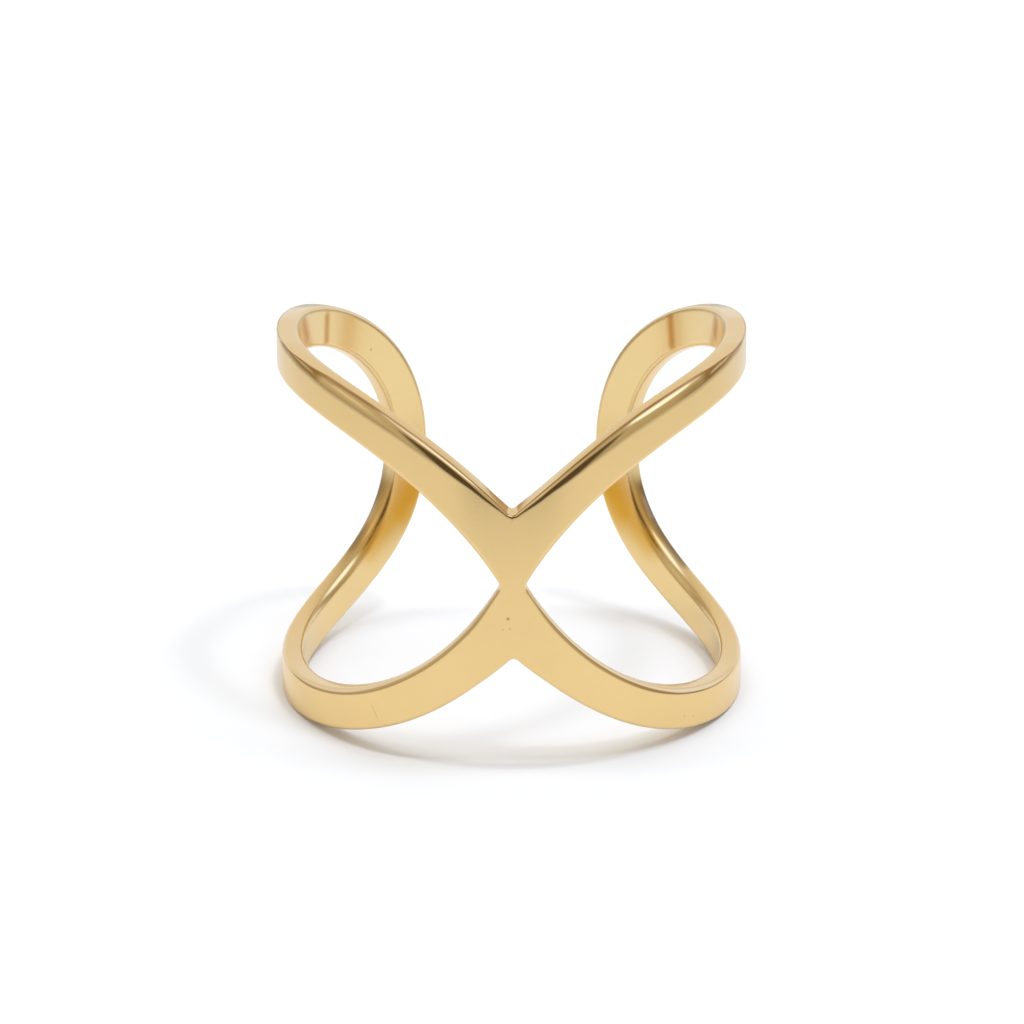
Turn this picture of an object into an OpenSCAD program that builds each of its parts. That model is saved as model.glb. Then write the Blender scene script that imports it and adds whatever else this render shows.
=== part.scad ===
/* [Ring] */
// Inside diameter, where the finger goes
inner_d = 17.3; // [15:0.1:22]
// Thickness of the metal band
band_t = 0.9; // [0.8:0.05:1.2]
// Height of the ring along the finger
ring_h = 15.6; // [14.4:0.1:17]

/* [Crossing] */
// Height between the two notches, above and below the crossing
crossing_h = 6; // [5:0.1:6.4]
// Width of the crossing at its waist
waist_w = 1.06; // [0.9:0.02:1.4]
// Slope of the arms where they leave the notches, in degrees
arm_slope = 43; // [42:1:49]
// Radius in the bottom of each notch
notch_r = 0.2; // [0.1:0.05:0.4]

/* [Wings] */
// Angle round the finger, from the front, where each wing is tallest
crest_angle = 87; // [82:0.5:92]
// Angle round the finger where each wing ends, so it sets the gap at the back
end_angle = 155.7; // [150:0.1:162]
// Roundness of the wing's end at the back
end_reach = 2.4; // [2:0.1:3.5]

/* [Wing openings] */
// Width of the band over each opening's tallest place
band_w = 1.64; // [1.4:0.02:2]
// Width of the band round the wing's end
end_band_w = 1.8; // [1.5:0.05:2.2]
// Angle round the finger where each opening is tallest
opening_angle = 80.6; // [76:0.2:86]
// Slope of the opening's edges where they leave the crossing, in degrees
cusp_slope = 57; // [52:1:62]
// Radius of the opening's point at the crossing
cusp_r = 0.3; // [0.2:0.05:0.4]

/* [Edges] */
// Rounding of the outer face along the ring's outline
outline_edge_r = 0.3; // [0.2:0.02:0.34]
// Rounding of the outer face round the openings
opening_edge_r = 0.22; // [0.15:0.01:0.3]
// Rounding of the inner face
inner_edge_r = 0.15; // [0.08:0.01:0.18]

/* [Hidden] */
$fn = 160;
inner_r = inner_d / 2;
outer_r = inner_r + band_t;
half_h = ring_h / 2;
// The drawn crest passes the rim by this much, so the rim ends in a small flat
crest_over = 0.03;
crest_z = half_h + crest_over;
notch_z = crossing_h / 2;
opening_z = half_h - band_w;
// Lengths of the curves' handles, along the outer face
arm_reach = 6.2;
crest_lead = 6.2;
crest_trail = 10.4;
cusp_reach = 5.8;
opening_lead = 5.5;
opening_trail = 4.1;
opening_end_reach = 5.7;
// Places along the outer face, measured from the middle of the front
crest_s = arc_length(crest_angle);
end_s = arc_length(end_angle);
opening_s = arc_length(opening_angle);
opening_end_s = end_s - end_band_w;
cusp_s = waist_w / 2;
// Steps along each arc and each curve, how far steps crowd after the crest, and how far
// the cutting shapes stand proud of the band
arc_steps = 3;
curve_steps = 20;
crest_ease = 1.3;
cut_over = 0.1;

// Length along the outer face for an angle round the finger
function arc_length(angle) = outer_r * angle * PI / 180;

// Point and slope of a cubic curve at t
function curve_point(p, t) =
  pow(1 - t, 3) * p[0] + 3 * pow(1 - t, 2) * t * p[1] + 3 * (1 - t) * t * t * p[2] + pow(t, 3) * p[3];
function curve_slope(p, t) =
  pow(1 - t, 2) * (p[1] - p[0]) + 2 * (1 - t) * t * (p[2] - p[1]) + t * t * (p[3] - p[2]);

// A place on an outline: where it is, and its unit normal to the left of the way it runs
function place(point, slope) = [point, [-slope[1], slope[0]] / norm(slope)];
function curve_places(p, ease = 1) =
  [for (i = [1:curve_steps])
    let (t = pow(i / curve_steps, ease))
    place(curve_point(p, t), curve_slope(p, t))];
function arc_places(centre, r, from, to) =
  [for (i = [0:arc_steps])
    let (a = from + (to - from) * i / arc_steps, way = from < to ? 1 : -1)
    place(centre + r * [cos(a), sin(a)], way * [-sin(a), cos(a)])];

// Upper half of the ring's outline on the right, from the notch to the wing's end
notch_arc = arc_places([0, notch_z + notch_r], notch_r, -90, arm_slope - 90);
arm_start = notch_arc[arc_steps][0];
outline_right = concat(
  notch_arc,
  curve_places([
    arm_start,
    arm_start + arm_reach * [cos(arm_slope), sin(arm_slope)],
    [crest_s - crest_lead, crest_z],
    [crest_s, crest_z]
  ]),
  curve_places([
    [crest_s, crest_z],
    [crest_s + crest_trail, crest_z],
    [end_s, end_reach],
    [end_s, 0]
  ], crest_ease)
);

// The same on the left, run from the wing's end to the notch
function mirrored(places) =
  [for (i = [len(places) - 1:-1:1])
    [[-places[i][0][0], places[i][0][1]], [-places[i][1][0], places[i][1][1]]]];
outline = concat(mirrored(outline_right), outline_right);

// Upper half of the right opening's outline, from its point to its end
cusp_arc = arc_places([cusp_s + cusp_r, 0], cusp_r, 180, 90 + cusp_slope);
edge_start = cusp_arc[arc_steps][0];
opening = concat(
  cusp_arc,
  curve_places([
    edge_start,
    edge_start + cusp_reach * [cos(cusp_slope), sin(cusp_slope)],
    [opening_s - opening_lead, opening_z],
    [opening_s, opening_z]
  ]),
  curve_places([
    [opening_s, opening_z],
    [opening_s + opening_trail, opening_z],
    [opening_end_s, opening_end_reach],
    [opening_end_s, 0]
  ])
);

// Radius and inset of each layer, from inside the finger hole to outside the ring
function layers(outer_edge_r) =
  let (mid = 1 - cos(45), steep = sin(45) / mid)
  [
    [inner_r - cut_over, inner_edge_r + cut_over],
    [inner_r + inner_edge_r, 0],
    [outer_r - outer_edge_r, 0],
    [outer_r - mid * outer_edge_r, mid * outer_edge_r],
    [outer_r + cut_over, outer_edge_r + steep * cut_over]
  ];

// A place moved by an inset along its normal and wrapped round the finger at a radius
function wrapped(spot, layer, side, up) =
  let (
    flat = spot[0] + side * layer[1] * spot[1],
    angle = flat[0] / outer_r * 180 / PI
  )
  [layer[0] * sin(angle), -layer[0] * cos(angle), up * flat[1]];

// Solid with walls square to the finger hole: side is 1 to inset left of the outline, -1 right
module wrapped_solid(half, rows, side) {
  last = len(half) - 1;
  count = 2 * last;
  points = [
    for (row = rows) concat(
      [for (i = [0:last]) wrapped(half[i], row, side, 1)],
      [for (i = [last - 1:-1:1]) wrapped(half[i], row, side, -1)]
    )
  ];
  walls = [
    for (k = [0:len(rows) - 2], i = [0:count - 1])
      let (a = k * count + i, b = k * count + (i + 1) % count)
      each [[a, b, b + count], [a, b + count, a + count]]
  ];
  top = (len(rows) - 1) * count;
  inner_cap = concat(
    [[0, count - 1, 1]],
    [for (i = [1:last - 2]) each [[i, count - i, i + 1], [count - i, count - i - 1, i + 1]]],
    [[last - 1, last + 1, last]]
  );
  outer_cap = [for (f = inner_cap) [f[0] + top, f[2] + top, f[1] + top]];
  polyhedron(
    points = [for (row = points) each row],
    faces = concat(walls, inner_cap, outer_cap)
  );
}

module tube() {
  translate([0, 0, -half_h])
    difference() {
      cylinder(r = outer_r, h = ring_h);
      translate([0, 0, -cut_over])
        cylinder(r = inner_r, h = ring_h + 2 * cut_over);
    }
}

module wing_opening() {
  wrapped_solid(opening, layers(opening_edge_r), 1);
}

// Crossover ring: two arms cross at the front and each side closes in a rounded wing
module ring() {
  color("#e2c184")
    translate([0, 0, half_h])
      difference() {
        intersection() {
          tube();
          wrapped_solid(outline, layers(outline_edge_r), -1);
        }
        wing_opening();
        mirror([1, 0, 0])
          wing_opening();
      }
}

ring();
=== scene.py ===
import bpy, bmesh, math
from functools import partial
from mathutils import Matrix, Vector


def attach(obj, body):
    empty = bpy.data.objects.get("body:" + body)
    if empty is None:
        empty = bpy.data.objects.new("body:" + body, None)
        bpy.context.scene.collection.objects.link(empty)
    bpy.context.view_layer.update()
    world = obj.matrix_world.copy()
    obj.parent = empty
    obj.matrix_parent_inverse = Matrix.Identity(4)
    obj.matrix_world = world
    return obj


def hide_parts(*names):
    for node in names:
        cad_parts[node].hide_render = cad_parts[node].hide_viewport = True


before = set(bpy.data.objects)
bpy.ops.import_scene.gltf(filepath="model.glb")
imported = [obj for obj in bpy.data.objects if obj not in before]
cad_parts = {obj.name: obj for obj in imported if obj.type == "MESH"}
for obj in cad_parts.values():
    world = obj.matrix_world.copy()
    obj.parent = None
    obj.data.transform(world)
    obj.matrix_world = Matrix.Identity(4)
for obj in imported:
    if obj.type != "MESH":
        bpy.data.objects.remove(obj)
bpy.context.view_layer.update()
scene = bpy.context.scene
mm = 0.001
print("frame loaded")

# the band laid flat, in millimetres and degrees: angles go round the finger from the front, slopes
# are on the flat, and reach, lead and trail are the handles of its curves
band = {
    "innerRadius": 8.65,
    "thickness": 0.9,
    "height": 15.6,
    # outline, from the notch over the crest to the wing's end
    "notchHeight": 3.0,        # half the crossing, notch to middle
    "notchRadius": 0.2,
    "armSlope": 43.0,
    "armReach": 6.2,
    "crestAngle": 87.0,
    "crestOver": 0.03,         # the drawn crest passes the rim by this and is worn flat
    "crestLead": 6.2,
    "crestTrail": 10.4,
    "endAngle": 155.7,
    "endReach": 2.45,
    # opening, from its point at the crossing over its top to its end
    "waistWidth": 1.06,        # metal between the two openings' points
    "cuspRadius": 0.3,
    "cuspSlope": 57.0,
    "cuspReach": 5.8,
    "openingAngle": 80.8,
    "bandWidth": 1.64,         # metal over the opening's top
    "openingLead": 5.5,
    "openingTrail": 4.1,
    "endBandWidth": 1.8,       # metal behind the opening's end
    "openingEndReach": 5.75,
    # rounded outer edges: length along the outline or opening, width on the face, depth down the wall
    "upperEdge": [(0, 0.09, 0.09), (1.5, 0.22, 0.2), (3.5, 0.4, 0.31), (5, 0.46, 0.35),
                  (7.4, 0.51, 0.4), (9.5, 0.52, 0.38), (11.3, 0.42, 0.2), (12.9, 0.32, 0.06),
                  (14.6, 0.14, 0.06), (19, 0.12, 0.12), (24, 0.38, 0.31), (40, 0.38, 0.31)],
    "lowerEdge": [(0, 0.09, 0.09), (3, 0.12, 0.12), (19, 0.14, 0.14), (24, 0.38, 0.31), (40, 0.38, 0.31)],
    "upperOpeningEdge": [(0, 0.2, 0.2), (30, 0.2, 0.2)],
    "lowerOpeningEdge": [(0, 0.1, 0.1), (2.4, 0.25, 0.23), (5, 0.3, 0.26), (8.5, 0.4, 0.28),
                         (11, 0.4, 0.28), (14, 0.3, 0.24), (30, 0.2, 0.2)],
    # both halves share one rounding where they meet, and blend into it over a length
    "pointEdge": 0.1,
    "pointBlend": 1.2,
    "endEdge": 0.2,
    "endBlend": 3.0,
    # rounded inner edges, softer along the lower back limbs: length along the opening, radius
    "innerEdge": 0.22,
    "lowerInnerEdge": [(0, 0.22), (17, 0.22), (20.5, 0.36), (30, 0.38)],
    # steps of the mesh
    "facingLength": 2.03,      # stretch of the opening that faces the middle of the crossing
    "columns": 200,
    "middleColumns": 12,
    "faceRows": 8,
    "edgeRows": 9,
    "fadeRows": 3,             # rows of a rounding that blend the face's finish into the edge's
    "wallRows": 2,
    "innerRows": 5,
}
outerRadius = band["innerRadius"] + band["thickness"]


def cubic(a, b, c, d, steps=300):
    # places and directions along a curve, without its first place
    rows = []
    for i in range(1, steps + 1):
        t = i / steps
        place = a * (1 - t) ** 3 + b * 3 * (1 - t) ** 2 * t + c * 3 * (1 - t) * t * t + d * t ** 3
        slope = (b - a) * (1 - t) ** 2 + (c - b) * 2 * (1 - t) * t + (d - c) * t * t
        rows.append((place, slope.normalized()))
    return rows


def arc(centre, radius, start, end, steps=14):
    way = 1 if end > start else -1
    rows = []
    for i in range(steps + 1):
        a = math.radians(start + (end - start) * i / steps)
        rows.append((centre + Vector((math.cos(a), math.sin(a))) * radius,
                     Vector((-math.sin(a), math.cos(a))) * way))
    return rows


def outlinePath(b):
    # from the notch over the crest to the wing's end
    slope = math.radians(b["armSlope"])
    notchCentre = Vector((0, b["notchHeight"] + b["notchRadius"]))
    notch = arc(notchCentre, b["notchRadius"], -90, b["armSlope"] - 90)
    start = notch[-1][0]
    crest = Vector((math.radians(b["crestAngle"]) * outerRadius, b["height"] / 2 + b["crestOver"]))
    end = Vector((math.radians(b["endAngle"]) * outerRadius, 0))
    arm = cubic(start, start + Vector((math.cos(slope), math.sin(slope))) * b["armReach"],
                crest - Vector((b["crestLead"], 0)), crest)
    back = cubic(crest, crest + Vector((b["crestTrail"], 0)), end + Vector((0, b["endReach"])), end)
    return notch + arm + back


def openingPath(b):
    # from the opening's point at the crossing over its top to its end
    slope = math.radians(b["cuspSlope"])
    cuspCentre = Vector((b["waistWidth"] / 2 + b["cuspRadius"], 0))
    cusp = arc(cuspCentre, b["cuspRadius"], 180, 90 + b["cuspSlope"], steps=10)
    start = cusp[-1][0]
    top = Vector((math.radians(b["openingAngle"]) * outerRadius, b["height"] / 2 - b["bandWidth"]))
    end = Vector((math.radians(b["endAngle"]) * outerRadius - b["endBandWidth"], 0))
    front = cubic(start, start + Vector((math.cos(slope), math.sin(slope))) * b["cuspReach"],
                  top - Vector((b["openingLead"], 0)), top)
    back = cubic(top, top + Vector((b["openingTrail"], 0)), end + Vector((0, b["openingEndReach"])), end)
    return cusp + front + back


def evenly(path, count, start=0.0, stop=None):
    # count + 1 rows at even lengths along a path: place, direction, length
    lengths = [0.0]
    for a, b in zip(path, path[1:]):
        lengths.append(lengths[-1] + (b[0] - a[0]).length)
    stop = lengths[-1] if stop is None else stop
    rows, k = [], 0
    for i in range(count + 1):
        want = start + (stop - start) * i / count
        while k < len(path) - 2 and lengths[k + 1] < want:
            k += 1
        w = min(max((want - lengths[k]) / (lengths[k + 1] - lengths[k]), 0), 1)
        (place, way), (nextPlace, nextWay) = path[k], path[k + 1]
        rows.append((place.lerp(nextPlace, w), way.lerp(nextWay, w).normalized(), want))
    return rows


def edgeAt(stops, length):
    # the edge's sizes at a length, eased from one stop to the next
    for (a, *low), (b, *high) in zip(stops, stops[1:]):
        if length <= b:
            t = (length - a) / (b - a)
            t = t * t * (3 - 2 * t)
            return [u + (v - u) * t for u, v in zip(low, high)]
    return stops[-1][1:]


def flatBand(b):
    # right half of the band laid flat: x along it, y into the metal, z up
    outline = evenly(outlinePath(b), b["columns"])
    opening = openingPath(b)
    facing = evenly(opening, b["middleColumns"], 0, b["facingLength"])[:-1]
    facing += evenly(opening, b["columns"], b["facingLength"])
    openingLength = facing[-1][2]
    thick = b["thickness"]
    verts, faces, found = [], [], {}
    # how rounded, how much a wall, how far inside, and how near the outline each point is
    traits = {"edge": [], "wall": [], "inner": [], "across": []}

    def point(x, y, z, rounded, walled, across):
        key = (round(x, 6), round(y, 6), round(z, 6))
        if key not in found:
            found[key] = len(verts)
            verts.append((x * mm, y * mm, z * mm))
            for values, value in zip(traits.values(), (rounded, walled, y / thick, across)):
                values.append(value)
        return found[key]

    def quad(corners, flip):
        loop = list(dict.fromkeys(corners))
        if len(loop) > 2:
            faces.append(loop[::-1] if flip else loop)

    def section(place, normal, width, depth, inside=b["innerEdge"]):
        # rounded outer edge, wall and rounded inner edge: place, depth, how rounded, how much a wall
        rows = []
        for i in range(b["edgeRows"] + 1):
            a = math.pi / 2 * i / b["edgeRows"]
            walled = max(0, 3 * i / b["edgeRows"] - 2)      # over the last third
            rows.append((place + normal * width * (1 - math.sin(a)), depth * (1 - math.cos(a)),
                         min(i / b["fadeRows"], 1), walled))
        deep = thick - inside
        for i in range(1, b["wallRows"]):
            rows.append((place, depth + (deep - depth) * i / b["wallRows"], 1, 1))
        for i in range(b["innerRows"] + 1):
            a = math.pi / 2 * i / b["innerRows"]
            rest = (b["innerRows"] - i) / b["innerRows"]
            rows.append((place + normal * inside * (1 - math.cos(a)), deep + inside * math.sin(a),
                         min(2 * rest, 1), rest))
        return rows

    def strip(sections, way, across, flip):
        # the edges and the wall along one path
        for left, right in zip(sections, sections[1:]):
            for i in range(len(left) - 1):
                corners = left[i], right[i], right[i + 1], left[i + 1]
                quad([point(place.x, depth, place.y * way, rounded, walled, across)
                      for place, depth, rounded, walled in corners], flip)

    def plate(outer, hole, way, row, flip):
        # the face between the outline and the opening, on the sections' first or last row
        top = outer[0][row][0].y
        above = [Vector((0, top * k / b["middleColumns"])) for k in range(b["middleColumns"])]
        above += [s[row][0] for s in outer]
        grid = []
        for upper, s in zip(above, hole):
            line = []
            for i in range(b["faceRows"] + 1):
                w = 0.5 - 0.5 * math.cos(math.pi * i / b["faceRows"])
                p = upper.lerp(s[row][0], w)
                line.append(point(p.x, s[row][1], p.y * way, 0, 0, 1 - w))
            grid.append(line)
        for left, right in zip(grid, grid[1:]):
            for i in range(b["faceRows"]):
                quad([left[i], left[i + 1], right[i + 1], right[i]], flip)

    def half(way, outlineEdge, openingEdge, innerEdge):
        # way is 1 for the upper half and -1 for the lower, which turns its faces round
        outer = [section(p, Vector((t.y, -t.x)), *edgeAt(outlineEdge, length)) for p, t, length in outline]
        hole = []
        for p, t, length in facing:
            blend = min(length / b["pointBlend"], 1, (openingLength - length) / b["endBlend"])
            shared = b["pointEdge"] if length < b["pointBlend"] else b["endEdge"]
            width, depth = (shared + (v - shared) * blend for v in edgeAt(openingEdge, length))
            inside = b["innerEdge"]
            inside += (edgeAt(innerEdge, length)[0] - inside) * blend
            hole.append(section(p, Vector((-t.y, t.x)), width, depth, inside))
        strip(outer, way, 1, way < 0)
        strip(hole, way, 0, way > 0)
        plate(outer, hole, way, 0, way < 0)
        plate(outer, hole, way, -1, way > 0)

    half(1, b["upperEdge"], b["upperOpeningEdge"], [(0, b["innerEdge"])])
    half(-1, b["lowerEdge"], b["lowerOpeningEdge"], b["lowerInnerEdge"])

    mesh = bpy.data.meshes.new("flatBand")
    mesh.from_pydata(verts, [], faces)
    for name, values in traits.items():
        mesh.attributes.new(name, "FLOAT", "POINT").data.foreach_set("value", values)
    mesh.update()
    return mesh


def fill(tree, sockets, given):
    # sockets in order: another node's output is linked, and a plain value is set
    for socket, value in zip(sockets, given):
        if isinstance(value, bpy.types.NodeSocket):
            tree.links.new(value, socket)
        else:
            socket.default_value = value


def mathsNode(tree, kind, *given):
    node = tree.nodes.new("ShaderNodeMath")
    node.operation = kind
    fill(tree, node.inputs, given)
    return node.outputs[0]


def vectorNode(tree, kind, a, b, result="Vector"):
    node = tree.nodes.new("ShaderNodeVectorMath")
    node.operation = kind
    second = node.inputs["Scale"] if kind == "SCALE" else node.inputs[1]
    fill(tree, (node.inputs[0], second), (a, b))
    return node.outputs[result]


def rangeNode(tree, value, start, stop, low=0.0, high=1.0, kind="SMOOTHSTEP"):
    node = tree.nodes.new("ShaderNodeMapRange")
    node.interpolation_type = kind
    fill(tree, node.inputs, (value, start, stop, low, high))
    return node.outputs["Result"]


def mixNode(tree, factor, a, b, kind="RGBA", blend="MIX"):
    node = tree.nodes.new("ShaderNodeMix")
    node.data_type = kind
    node.blend_type = blend
    first, result = (6, 2) if kind == "RGBA" else (2, 0)    # its colour or its number sockets
    fill(tree, (node.inputs[0], *node.inputs[first:first + 2]), (factor, a, b))
    return node.outputs[result]


def noiseNode(tree, place, scale, detail=2.0):
    node = tree.nodes.new("ShaderNodeTexNoise")
    fill(tree, (node.inputs["Vector"], node.inputs["Scale"], node.inputs["Detail"]), (place, scale, detail))
    return node


def axesNode(tree, place):
    node = tree.nodes.new("ShaderNodeSeparateXYZ")
    tree.links.new(place, node.inputs[0])
    return node.outputs


# the tree adds the left half, files the outline by hand, and bends the band round the finger
bend = {
    "Crossing shift": 0.03 * mm,       # the crossing sits a little to the right
    "Crossing lean": 0.01,
    "Crossing reach": 7.0 * mm,
    "Unevenness": 0.012 * mm,          # hand polish, always into the metal
    "Unevenness size": 3.0 * mm,
    "Seed": 4.0,
    "Merge distance": 0.001 * mm,
}
# filed places, in millimetres: place along the band, reach, lift, 1 for the upper outline or -1 for
# the lower, and 1 where only the inner edge is filed
filed = {
    "Right arm": (1.9, 3.4, -0.12, 1, 0),
    "Left arm": (-1.6, 4.0, 0.06, 1, 1),
    "Notch": (0.1, 0.9, 0.08, 1, 1),
    "Lower left arm": (-3.4, 4.0, -0.04, -1, 0),
    "Lower notch": (0.0, 1.6, -0.06, -1, 0),
}
filedInputs = ("place", "reach", "lift")


def bendTree():
    tree = bpy.data.node_groups.new("bandRoundFinger", "GeometryNodeTree")
    nodes, links = tree.nodes, tree.links
    maths = partial(mathsNode, tree)
    numbers = ["Outer radius", "Height", *bend]
    numbers += [f"{spot} {name}" for spot in filed for name in filedInputs]
    tree.interface.new_socket(name="Band", in_out="INPUT", socket_type="NodeSocketGeometry")
    for name in numbers:
        tree.interface.new_socket(name=name, in_out="INPUT", socket_type="NodeSocketFloat")
    tree.interface.new_socket(name="Finish", in_out="INPUT", socket_type="NodeSocketMaterial")
    tree.interface.new_socket(name="Ring", in_out="OUTPUT", socket_type="NodeSocketGeometry")
    given = nodes.new("NodeGroupInput").outputs

    def step(kind, geometry, name="Geometry"):
        # the next node that the geometry goes through
        node = nodes.new(kind)
        links.new(geometry, node.inputs[name])
        return node

    def moved(geometry, x, y, z):
        spot = nodes.new("ShaderNodeCombineXYZ")
        fill(tree, spot.inputs, (x, y, z))
        node = step("GeometryNodeSetPosition", geometry)
        links.new(spot.outputs[0], node.inputs["Position"])
        return node.outputs[0]

    def attribute(name):
        node = nodes.new("GeometryNodeInputNamedAttribute")
        node.data_type = "FLOAT"
        node.inputs["Name"].default_value = name
        return node.outputs["Attribute"]

    turned = step("GeometryNodeTransform", given["Band"])
    turned.inputs["Scale"].default_value = (-1, 1, 1)
    flipped = step("GeometryNodeFlipFaces", turned.outputs[0], "Mesh")
    both = step("GeometryNodeJoinGeometry", given["Band"])
    links.new(flipped.outputs[0], both.inputs[0])
    merged = step("GeometryNodeMergeByDistance", both.outputs[0])
    links.new(given["Merge distance"], merged.inputs["Distance"])

    place = nodes.new("GeometryNodeInputPosition").outputs[0]
    x, y, z = axesNode(tree, place)

    def hump(centre, reach):
        # 1 at the centre, eased to nothing at the reach
        off = maths("DIVIDE", maths("SUBTRACT", x, centre), reach)
        rest = maths("MAXIMUM", maths("SUBTRACT", 1.0, maths("MULTIPLY", off, off)), 0.0)
        return maths("POWER", rest, 2.0)

    # each filed place is full at the outline and nothing at the opening
    across, inner = attribute("across"), attribute("inner")
    lifted = z
    for spot, (_, _, _, way, inside) in filed.items():
        centre, reach, rise = (given[f"{spot} {name}"] for name in filedInputs)
        lift = maths("MULTIPLY", maths("MULTIPLY", hump(centre, reach), across), rise)
        lift = maths("MULTIPLY", lift, maths("GREATER_THAN" if way > 0 else "LESS_THAN", z, 0.0))
        lifted = maths("ADD", lifted, maths("MULTIPLY", lift, inner) if inside else lift)
    shift = maths("SUBTRACT", given["Crossing shift"], maths("MULTIPLY", z, given["Crossing lean"]))
    shifted = maths("ADD", x, maths("MULTIPLY", shift, hump(0.0, given["Crossing reach"])))
    worked = moved(merged.outputs[0], shifted, y, lifted)

    # bent round the finger, a little uneven
    noise = noiseNode(tree, place, maths("DIVIDE", 1.0, given["Unevenness size"]), 1.0)
    noise.noise_dimensions = "4D"
    links.new(given["Seed"], noise.inputs["W"])
    dip = maths("MULTIPLY", noise.outputs["Fac"], given["Unevenness"])
    angle = maths("DIVIDE", x, given["Outer radius"])
    radius = maths("SUBTRACT", maths("SUBTRACT", given["Outer radius"], y), dip)
    bent = moved(worked, maths("MULTIPLY", radius, maths("SINE", angle)),
                 maths("MULTIPLY", radius, maths("MULTIPLY", maths("COSINE", angle), -1.0)),
                 maths("ADD", z, maths("MULTIPLY", given["Height"], 0.5)))

    soft = step("GeometryNodeSetShadeSmooth", bent)
    real = step("GeometryNodeRealizeInstances", soft.outputs[0])
    finish = step("GeometryNodeSetMaterial", real.outputs[0])
    links.new(given["Finish"], finish.inputs["Material"])
    links.new(finish.outputs[0], nodes.new("NodeGroupOutput").inputs["Ring"])
    return tree


# gold finish, places and lengths in millimetres
gold = {
    "outerColour": (0.87, 0.625, 0.285, 1),
    "innerColour": (0.88, 0.66, 0.32, 1),
    "edgeColour": (0.82, 0.60, 0.30, 1),
    "upperPaintedShade": 0.97,        # painted shade: the outer face's tone at the top of the ring, 1 at the bottom
    # tone: its least, and what the patches and the grain add
    "leastTone": 0.905,
    "patchTone": 0.09,
    "grainTone": 0.10,
    "patchSize": 2.2,
    "patchDetail": 3.0,
    "grainSize": 0.06,
    "grainDetail": 2.0,
    "grainStretch": (1, 1, 1.6),       # longer round the band than up it
    "outerRoughness": 0.19,
    "innerRoughness": 0.23,
    "edgeRoughness": 0.08,
    "innerEdgeRoughness": 0.3,
    "wallRoughness": 0.2,
    "patchRoughness": 0.08,    # added from the smoothest patch to the roughest
    "markRoughness": 0.3,      # added in a pit or a scratch
    "bumpStrength": 0.35,
    "bumpHeight": 0.004,
    "edgePolish": 0.8,         # how much of the grain is polished off the rounded edges
    "markDepth": 4.0,          # a mark's depth in heights of the grain
    # pits and specks: place, radius, strength
    "pits": [
        ((-0.16, -9.55, 6.46), 0.1, 0.6),
        ((-0.36, -9.55, 6.0), 0.05, 0.5),
        ((-0.08, -9.55, 6.03), 0.05, 0.5),
        ((6.98, -6.52, 1.06), 0.06, 0.5),
        ((7.36, -6.09, 0.88), 0.06, 0.5),
        ((-5.9, 6.33, 12.42), 0.09, 0.4),
    ],
    # a scratch from one place to the other, its half width and strength
    "scratches": [((-5.63, -7.71, 2.02), (-5.39, -7.88, 1.52), 0.035, 0.3)],
    "markColour": (0.16, 0.09, 0.04, 1),
    # painted reflections: orange streaks down the wings' inner faces, the same way
    "wingReflectionStreaks": [
        ((-7.64, 4.05, 14.6), (-7.7, 3.95, 13.3), 0.38, 0.85),
        ((-8.5, 1.61, 15.08), (-8.4, 2.05, 14.37), 0.62, 0.85),
        ((-8.4, 2.05, 14.37), (-8.26, 2.56, 13.82), 0.45, 0.45),
        ((6.64, 5.55, 14.4), (6.73, 5.43, 12.9), 0.36, 0.85),
        ((8.41, 2.04, 14.97), (8.38, 2.16, 14.5), 0.6, 0.95),
        ((8.38, 2.16, 14.5), (8.27, 2.52, 13.99), 0.45, 0.5),
    ],
    "wingReflectionColour": (0.58, 0.28, 0.06, 1),
    # painted reflection of gold in gold: deeper gold across the lower back limbs, the same way
    "patches": [
        ((-4.2, 7.56, 5.7), (-4.75, 7.23, 4.81), 1.4, 1.0),
        ((-4.75, 7.23, 4.81), (-6.02, 6.21, 3.69), 1.15, 0.85),
        ((-5.26, 7.43, 6.02), (-6.1, 6.75, 4.35), 0.7, 0.9),
        ((4.3, 7.51, 5.7), (4.83, 7.18, 4.82), 1.4, 1.0),
        ((4.83, 7.18, 4.82), (5.9, 6.32, 3.8), 1.15, 0.85),
        ((5.25, 7.43, 6.01), (6.1, 6.75, 4.4), 0.7, 0.9),
    ],
    "limbGoldReflectionColour": (0.76, 0.42, 0.055, 1),
    # painted dark reflection along the rounded edge of the shoulders, the same way
    "shoulderDarkReflection": [
        ((7.78, -5.37, 15.28), (9.14, -2.4, 15.39), 0.62, 0.9),
        ((-7.8, -5.33, 15.28), (-9.1, -2.54, 15.45), 0.62, 0.88),
    ],
    "shoulderReflectionColour": (0.48, 0.27, 0.08, 1),
    # painted dark reflection on the lower back limbs' walls, towards their outer edge, the same way
    "limbWallDarkReflection": [
        ((5.47, 7.7, 5.82), (6.16, 7.17, 4.46), 0.6, 1.0),
        ((6.16, 7.17, 4.46), (7.41, 5.86, 2.99), 0.55, 0.75),
        ((-5.35, 7.73, 6.54), (-5.95, 7.28, 5.12), 0.6, 0.5),
        ((-5.95, 7.28, 5.12), (-6.8, 6.49, 3.49), 0.5, 0.5),
    ],
    "limbWallReflectionColour": (0.2, 0.13, 0.07, 1),
    # a dark line in the seam between the rounded edge and the wall, on the outline's side of the outer face
    "seamColour": (0.36, 0.16, 0.06, 1),
    "seamStrength": 0.85,
    "lowerSeam": 0.6,          # its share along the lower outline
    "seamFullness": 1.6,       # above 1 widens its darkest part
    "seamInside": 0.6,         # no deeper into the band than this
    "seamAcross": 0.9,         # no farther from the outline, which is at 1
    "seamBreaks": (0.35, 0.6, 0.55),   # from and to this level of the patches, and the least left
}


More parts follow.
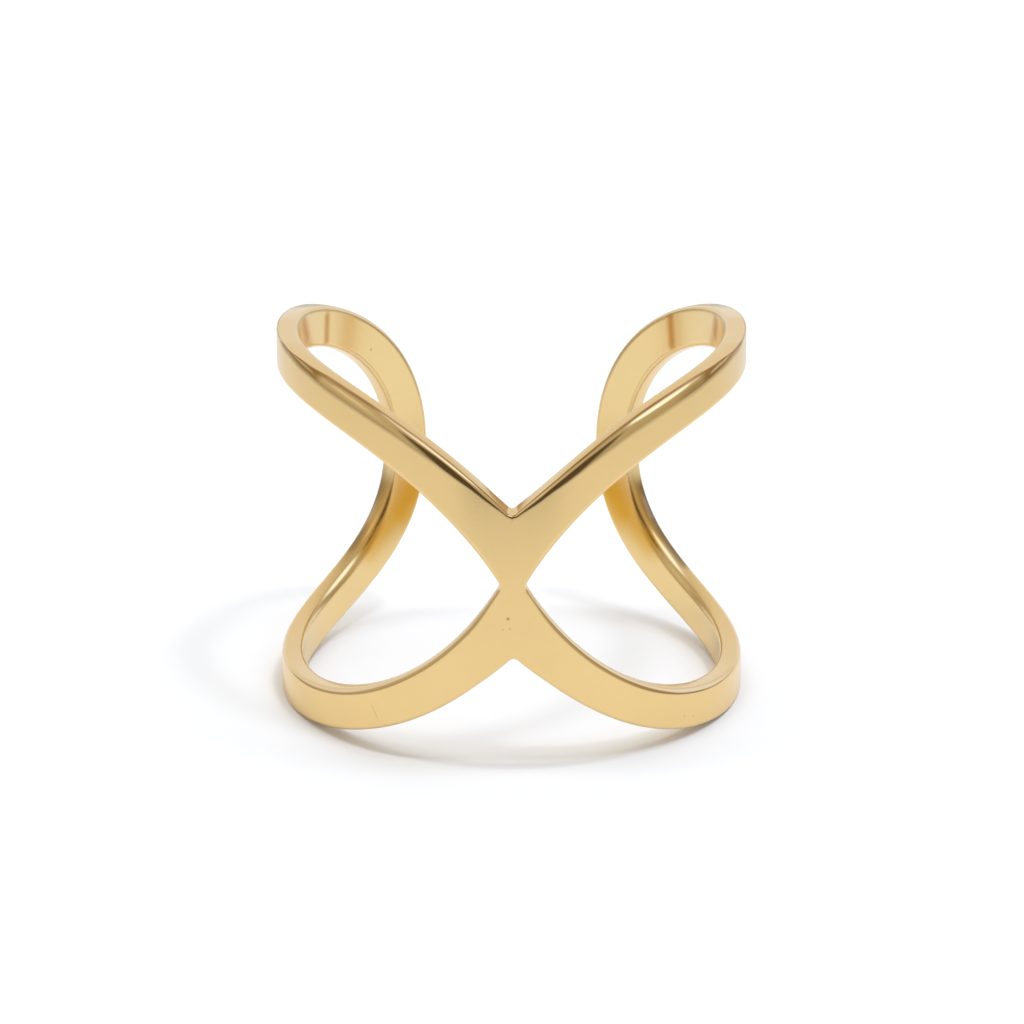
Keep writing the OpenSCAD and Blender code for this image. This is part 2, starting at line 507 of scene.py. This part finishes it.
def nodeGroup(name, inputs, outputs):
    # an input without a value is a vector, and all the others are numbers
    tree = bpy.data.node_groups.new(name, "ShaderNodeTree")
    for label, value in inputs.items():
        kind = "NodeSocketVector" if value is None else "NodeSocketFloat"
        socket = tree.interface.new_socket(name=label, in_out="INPUT", socket_type=kind)
        if value is not None:
            socket.default_value = value
    for label in outputs:
        tree.interface.new_socket(name=label, in_out="OUTPUT", socket_type="NodeSocketFloat")
    return tree, tree.nodes.new("NodeGroupInput").outputs, tree.nodes.new("NodeGroupOutput").inputs


def pitGroup():
    # a round mark at a place: its strength in the middle, 0 outside
    inputs = {"Place": None, "Centre": None, "Radius": 0.05, "Strength": 0.5}
    tree, given, result = nodeGroup("pit", inputs, ["Mask"])
    away = vectorNode(tree, "DISTANCE", given["Place"], given["Centre"], "Value")
    tree.links.new(rangeNode(tree, away, given["Radius"], 0.0, 0.0, given["Strength"]), result["Mask"])
    return tree


def scratchGroup():
    # a straight mark between two places
    inputs = {"Place": None, "Start": None, "End": None, "Width": 0.03, "Strength": 0.5}
    tree, given, result = nodeGroup("scratch", inputs, ["Mask"])
    maths, vector = partial(mathsNode, tree), partial(vectorNode, tree)
    way = vector("SUBTRACT", given["End"], given["Start"])
    reach = vector("SUBTRACT", given["Place"], given["Start"])
    along = vector("DOT_PRODUCT", reach, way, "Value")
    part = maths("DIVIDE", along, vector("DOT_PRODUCT", way, way, "Value"))
    part.node.use_clamp = True
    away = vector("DISTANCE", reach, vector("SCALE", way, part), "Value")
    tree.links.new(rangeNode(tree, away, given["Width"], 0.0, 0.0, given["Strength"]), result["Mask"])
    return tree


def satinGroup(values):
    # brushed satin: patches of tone, and a fine grain round the band
    inputs = {"Place": None, "Patch size": values["patchSize"], "Grain size": values["grainSize"]}
    tree, given, result = nodeGroup("satinGrain", inputs, ["Patches", "Grain"])
    stretched = vectorNode(tree, "MULTIPLY", given["Place"], values["grainStretch"])
    for place, size, detail, name in ((given["Place"], "Patch size", values["patchDetail"], "Patches"),
                                      (stretched, "Grain size", values["grainDetail"], "Grain")):
        noise = noiseNode(tree, place, mathsNode(tree, "DIVIDE", 1.0, given[size]), detail)
        tree.links.new(noise.outputs["Fac"], result[name])
    return tree


def newFinish(name):
    mat = bpy.data.materials.new(name)
    mat.use_nodes = True
    return mat, mat.node_tree, mat.node_tree.nodes["Principled BSDF"]


def goldFinish(values):
    mat, tree, shader = newFinish("gold")
    nodes, links = tree.nodes, tree.links
    maths, vector = partial(mathsNode, tree), partial(vectorNode, tree)
    ranged, mixed = partial(rangeNode, tree), partial(mixNode, tree)
    shader.inputs["Metallic"].default_value = 1.0
    place = vector("SCALE", nodes.new("ShaderNodeTexCoord").outputs["Object"], 1 / mm)
    height = axesNode(tree, place)["Z"]

    def attribute(name):
        node = nodes.new("ShaderNodeAttribute")
        node.attribute_name = name
        return node.outputs["Fac"]

    def placed(group, *given):
        node = nodes.new("ShaderNodeGroup")
        node.node_tree = group
        fill(tree, node.inputs, (place, *given))
        return node.outputs

    def strongest(group, rows):
        # one group node a row, and the highest of their masks
        top, *others = [placed(group, *row)["Mask"] for row in rows]
        for mask in others:
            top = maths("MAXIMUM", top, mask)
        return top

    edge, wall, inside, across = (attribute(name) for name in ("edge", "wall", "inner", "across"))
    innerFace = maths("MULTIPLY", inside, maths("SUBTRACT", 1.0, edge))
    rounding = maths("MULTIPLY", edge, maths("SUBTRACT", 1.0, wall))
    satin = placed(satinGroup(values))

    # plain colours, toned by the satin, and painted shade towards the outer face's top
    colour = mixed(inside, values["outerColour"], values["innerColour"])
    colour = mixed(edge, colour, values["edgeColour"])
    tone = maths("ADD", maths("MULTIPLY", satin["Patches"], values["patchTone"]),
                 maths("MULTIPLY", satin["Grain"], values["grainTone"]))
    tone = maths("ADD", tone, values["leastTone"])
    # painted shade: the outer face darker towards its top
    shade = ranged(height, 0.0, band["height"], 1.0, values["upperPaintedShade"], "LINEAR")
    tone = maths("MULTIPLY", tone, mixed(maths("MAXIMUM", edge, inside), shade, 1.0, "FLOAT"))
    grey = nodes.new("ShaderNodeCombineColor")
    fill(tree, grey.inputs, (tone, tone, tone))
    colour = mixed(1.0, colour, grey.outputs[0], blend="MULTIPLY")

    # painted reflections, each on its own surfaces
    pit, scratch = pitGroup(), scratchGroup()
    for rows, surface, paintedReflection in (("patches", inside, "limbGoldReflectionColour"), ("wingReflectionStreaks", innerFace, "wingReflectionColour"),
                                 ("shoulderDarkReflection", rounding, "shoulderReflectionColour"), ("limbWallDarkReflection", edge, "limbWallReflectionColour")):
        mask = maths("MULTIPLY", strongest(scratch, values[rows]), surface)
        colour = mixed(mask, colour, values[paintedReflection])

    # the seam: where the wall begins on the outline, fainter below, broken by the patches
    seam = maths("SUBTRACT", 1.0, maths("ABSOLUTE", maths("SUBTRACT", maths("MULTIPLY", wall, 2.0), 1.0)))
    seam = maths("MINIMUM", maths("MULTIPLY", seam, values["seamFullness"]), 1.0)
    onOuter = maths("LESS_THAN", inside, values["seamInside"])
    onOutline = maths("GREATER_THAN", across, values["seamAcross"])
    seam = maths("MULTIPLY", seam, maths("MULTIPLY", onOuter, onOutline))
    upper = maths("GREATER_THAN", height, band["height"] / 2)
    seam = maths("MULTIPLY", seam, mixed(upper, values["lowerSeam"], 1.0, "FLOAT"))
    breakFrom, breakTo, least = values["seamBreaks"]
    broken = ranged(satin["Patches"], breakFrom, breakTo, least, 1.0, "LINEAR")
    seam = maths("MULTIPLY", seam, maths("MULTIPLY", broken, values["seamStrength"]))

    marked = maths("MAXIMUM", strongest(pit, values["pits"]), strongest(scratch, values["scratches"]))
    colour = mixed(seam, colour, values["seamColour"])
    colour = mixed(marked, colour, values["markColour"])
    links.new(colour, shader.inputs["Base Color"])

    rough = mixed(inside, values["outerRoughness"], values["innerRoughness"], "FLOAT")
    edgeRough = mixed(inside, values["edgeRoughness"], values["innerEdgeRoughness"], "FLOAT")
    rough = mixed(edge, rough, edgeRough, "FLOAT")
    rough = mixed(wall, rough, values["wallRoughness"], "FLOAT")
    patches = maths("SUBTRACT", satin["Patches"], 0.5)
    rough = maths("ADD", rough, maths("MULTIPLY", patches, values["patchRoughness"]))
    rough = maths("ADD", rough, maths("MULTIPLY", marked, values["markRoughness"]))
    links.new(rough, shader.inputs["Roughness"])

    bump = nodes.new("ShaderNodeBump")
    bump.inputs["Strength"].default_value = values["bumpStrength"]
    bump.inputs["Distance"].default_value = values["bumpHeight"] * mm
    unpolished = maths("SUBTRACT", 1.0, maths("MULTIPLY", edge, values["edgePolish"]))
    relief = maths("MULTIPLY", satin["Grain"], unpolished)
    relief = maths("SUBTRACT", relief, maths("MULTIPLY", marked, values["markDepth"]))
    links.new(relief, bump.inputs["Height"])
    links.new(bump.outputs["Normal"], shader.inputs["Normal"])
    return mat


def bentBand(b, finish):
    # the tree's result as a plain mesh
    tree = bendTree()
    flat = bpy.data.objects.new("flatBand", flatBand(b))
    scene.collection.objects.link(flat)
    modifier = flat.modifiers.new("bend", "NODES")
    modifier.node_group = tree
    settings = {"Outer radius": outerRadius * mm, "Height": b["height"] * mm, "Finish": finish, **bend}
    for spot, values in filed.items():
        for name, value in zip(filedInputs, values):
            settings[f"{spot} {name}"] = value * mm
    for item in tree.interface.items_tree:
        if item.name in settings:
            modifier[item.identifier] = settings[item.name]
    bpy.context.view_layer.update()
    mesh = bpy.data.meshes.new_from_object(flat.evaluated_get(bpy.context.evaluated_depsgraph_get()))
    flat.modifiers.remove(modifier)
    bpy.data.objects.remove(flat)
    # the crests stop at the rim's flat
    low, high = 0.0, b["height"] * mm
    for v in mesh.vertices:
        v.co.z = min(max(v.co.z, low), high)
    mesh.name = "goldRing"
    return mesh


def reportRing(mesh):
    shape = bmesh.new()
    shape.from_mesh(mesh)
    triangles = sum(len(f.vertices) - 2 for f in mesh.polygons)
    openEdges = sum(not e.is_manifold for e in shape.edges)
    volume = round(shape.calc_volume(signed=True) / mm ** 3, 2)
    shape.free()
    print("ring made:", len(mesh.vertices), "points,", triangles, "triangles, open edges", openEdges,
          "volume", volume, "cubic mm")


# the ring
goldMaterial = goldFinish(gold)
print("gold made")
goldRing = bpy.data.objects.new("goldRing", bentBand(band, goldMaterial))
scene.collection.objects.link(goldRing)
reportRing(goldRing.data)
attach(goldRing, "root")
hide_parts("ring")

# table, in metres and degrees
table = {
    "halfSize": 3.0,
    "colour": (0.9, 0.9, 0.9),
    "roughness": 0.7,
    "specular": 0.2,
    "lift": 0.045,             # the photo's bleached white, for the camera only
    "liftColour": (0.96, 1, 1.06, 1),
    "grainScale": 900.0,
    "grainTone": (0.992, 1.008),
    # what the gold sees of the table: it dims with distance, and the camera's shadow lies in front
    "near": (0.03, 0.09, 1.0, 0.67),   # from, to, tone before, tone after
    "far": (0.09, 0.3, 1.0, 0.8),
    "shadowFrom": (0.042, 0.048),
    "shadowHalfAngle": (14.0, 27.0),
    "shadow": 0.12,            # tone left in it
}


def paperFinish(values):
    mat, tree, shader = newFinish("paper")
    nodes, links = tree.nodes, tree.links
    maths, ranged = partial(mathsNode, tree), partial(rangeNode, tree)
    shader.inputs["Roughness"].default_value = values["roughness"]
    shader.inputs["Specular IOR Level"].default_value = values["specular"]
    shader.inputs["Emission Color"].default_value = values["liftColour"]
    seen = nodes.new("ShaderNodeLightPath")
    lift = maths("MULTIPLY", seen.outputs["Is Camera Ray"], values["lift"])
    links.new(lift, shader.inputs["Emission Strength"])

    place = nodes.new("ShaderNodeTexCoord").outputs["Object"]
    x, y, _ = axesNode(tree, place)
    front = maths("MULTIPLY", y, -1.0)
    away = maths("SQRT", maths("ADD", maths("MULTIPLY", x, x), maths("MULTIPLY", front, front)))
    turn = maths("ABSOLUTE", maths("DEGREES", maths("ARCTAN2", x, front)))
    dim = maths("MULTIPLY", ranged(away, *values["near"], "LINEAR"), ranged(away, *values["far"], "LINEAR"))
    shadow = maths("MULTIPLY", ranged(away, *values["shadowFrom"]),
                   ranged(turn, *values["shadowHalfAngle"], 1.0, 0.0))
    tone = maths("MULTIPLY", dim, maths("SUBTRACT", 1.0, maths("MULTIPLY", shadow, 1.0 - values["shadow"])))
    # full white except where the gold mirrors it
    tone = maths("ADD", 1.0, maths("MULTIPLY", seen.outputs["Is Glossy Ray"], maths("SUBTRACT", tone, 1.0)))
    # a little paper grain
    grain = noiseNode(tree, place, values["grainScale"]).outputs["Fac"]
    tone = maths("MULTIPLY", tone, ranged(grain, 0.0, 1.0, *values["grainTone"], "LINEAR"))
    links.new(vectorNode(tree, "SCALE", values["colour"], tone), shader.inputs["Base Color"])
    return mat


def tableTop(values):
    half = values["halfSize"]
    mesh = bpy.data.meshes.new("floor")
    corners = [(-half, -half, 0), (half, -half, 0), (half, half, 0), (-half, half, 0)]
    mesh.from_pydata(corners, [], [(0, 1, 2, 3)])
    mesh.materials.append(paperFinish(values))
    top = bpy.data.objects.new("floor", mesh)
    scene.collection.objects.link(top)
    return top


floor = tableTop(table)
print("table set")

# studio: a warm room, a white wall behind, the camera's dark shape in front and soft panels around.
# Angles are degrees round from the front (plus is right) and degrees up from the table.
studio = {
    "gain": 1.0,
    "room": (0.6, 0.555, 0.45),
    # up, colour
    "wallBehind": [(0, (0.97, 1.03, 1.14)), (12, (0.94, 0.97, 1.03)), (20, (0.92, 0.92, 0.93)),
                   (28, (0.91, 0.89, 0.84)), (38, (0.93, 0.91, 0.89)), (48, (0.86, 0.82, 0.74)),
                   (66, (0.7, 0.65, 0.55)), (90, (0.66, 0.62, 0.52))],
    "wallFrom": (122.0, 152.0),        # round, from the room's colour to the wall's
    # middle round, middle up, half width, half height, softness, colour
    "panels": {
        "right wall": (58.0, 14.0, 32.0, 18.0, 10.0, (0.56, 0.51, 0.38)),
        "right door": (92.0, 16.0, 12.0, 14.0, 12.0, (0.43, 0.36, 0.25)),
        "right corner": (108.0, 33.0, 12.0, 8.0, 6.0, (0.53, 0.49, 0.42)),
        "right window": (120.0, 16.0, 18.0, 9.0, 3.0, (0.98, 1.08, 1.48)),
        "right skirt": (98.0, 2.0, 17.0, 5.0, 4.0, (0.38, 0.32, 0.24)),
        "left wall": (-74.0, 38.0, 24.0, 14.0, 9.0, (0.74, 0.69, 0.58)),
        "left picture": (-75.0, 42.0, 16.0, 6.0, 7.0, (0.9, 0.85, 0.8)),
        "left skirt": (-88.0, 3.0, 44.0, 6.0, 6.0, (0.5, 0.45, 0.36)),
        "left corner": (-116.0, 42.0, 15.0, 12.0, 8.0, (0.5, 0.44, 0.34)),
        "left window": (-121.0, 20.0, 18.0, 8.0, 4.0, (0.9, 0.95, 1.14)),
        "camera": (-2.0, 5.0, 24.0, 43.0, 9.0, (0.11, 0.085, 0.055)),
    },
    # round soft box overhead: round, up, full and fading radius
    "softbox": (76.0, 68.0, 16.0, 27.0),
    "softboxColour": (1.35, 1.6, 2.1),
    # lamps: round, up and distance in metres, size, watts
    "lamps": {
        "strip": ((0.0, 90.0, 0.5), (0.46, 0.07), 0.8),
        "key": ((48.3, 69.4, 0.8), (0.09, 0.09), 0.85),
    },
    "lampColour": (0.955, 1.0, 1.08),
}


def towards(turn, rise):
    # the way to a place round from the front and up from the table, in degrees
    turn, rise = math.radians(turn), math.radians(rise)
    return Vector((math.sin(turn) * math.cos(rise), -math.cos(turn) * math.cos(rise), math.sin(rise)))


def studioWorld(values):
    world = bpy.data.worlds.new("studio")
    world.use_nodes = True
    tree = world.node_tree
    nodes, links = tree.nodes, tree.links
    maths, ranged, mixed = partial(mathsNode, tree), partial(rangeNode, tree), partial(mixNode, tree)
    place = nodes.new("ShaderNodeTexCoord").outputs["Generated"]
    x, y, z = axesNode(tree, place)
    turn = maths("DEGREES", maths("ARCTAN2", x, maths("MULTIPLY", y, -1.0)))
    rise = maths("DEGREES", maths("ARCSINE", z))

    behind = nodes.new("ShaderNodeValToRGB")
    stops = values["wallBehind"]
    while len(behind.color_ramp.elements) < len(stops):
        behind.color_ramp.elements.new(1.0)
    for element, (up, colour) in zip(behind.color_ramp.elements, stops):
        element.position = up / 90
        element.color = (*colour, 1)
    links.new(maths("DIVIDE", rise, 90.0), behind.inputs[0])
    wall = ranged(maths("ABSOLUTE", turn), *values["wallFrom"])
    colour = mixed(wall, (*values["room"], 1), behind.outputs["Color"])

    for middle, up, halfWidth, halfHeight, softness, shade in values["panels"].values():
        sideways = maths("ABSOLUTE", maths("WRAP", maths("SUBTRACT", turn, middle), 180.0, -180.0))
        upwards = maths("ABSOLUTE", maths("SUBTRACT", rise, up))
        panel = maths("MULTIPLY", ranged(sideways, halfWidth + softness, halfWidth - softness),
                      ranged(upwards, halfHeight + softness, halfHeight - softness))
        colour = mixed(panel, colour, (*shade, 1))

    middle, up, full, fading = values["softbox"]
    facing = vectorNode(tree, "DOT_PRODUCT", place, towards(middle, up), "Value")
    softbox = ranged(facing, math.cos(math.radians(fading)), math.cos(math.radians(full)))
    colour = mixed(softbox, colour, (*values["softboxColour"], 1))
    links.new(colour, nodes["Background"].inputs["Color"])
    nodes["Background"].inputs["Strength"].default_value = values["gain"]
    return world


def softLamp(name, spot, size, watts, colour):
    # lights the table alone: the gold sees only the studio's panels
    data = bpy.data.lights.new(name, "AREA")
    data.shape = "RECTANGLE"
    data.size, data.size_y = size
    data.energy = watts
    data.color = colour
    light = bpy.data.objects.new(name, data)
    turn, rise, distance = spot
    light.location = towards(turn, rise) * distance
    light.rotation_euler = (-light.location).to_track_quat("-Z", "Y").to_euler()
    light.visible_glossy = False
    scene.collection.objects.link(light)


scene.world = studioWorld(studio)
scene.view_settings.view_transform = "Standard"
scene.view_settings.look = "None"
for name, (spot, size, watts) in studio["lamps"].items():
    softLamp(name, spot, size, watts, studio["lampColour"])
print("lights set")

# camera at the photo's angle
view = {
    "distance": 21.2,          # from the ring's middle, in outer radii
    "elevation": 20.01,
    "azimuth": -0.128,
    "aim": (0.0022, 0.0, -0.0361),     # off the ring's middle, in outer radii
    "lens": 172.8,
    "sensor": 36,
    "clipStart": 0.01,
}


def photoCamera(values):
    data = bpy.data.cameras.new("camera")
    data.sensor_width = values["sensor"]
    data.lens = values["lens"]
    data.clip_start = values["clipStart"]
    made = bpy.data.objects.new("camera", data)
    scene.collection.objects.link(made)
    middle = Vector((0, 0, band["height"] / 2 * mm))
    back = towards(values["azimuth"], values["elevation"])
    made.location = middle + back * values["distance"] * outerRadius * mm
    aim = middle + Vector(values["aim"]) * outerRadius * mm
    made.rotation_euler = (aim - made.location).to_track_quat("-Z", "Y").to_euler()
    return made


camera = photoCamera(view)
scene.camera = camera
print("camera set")
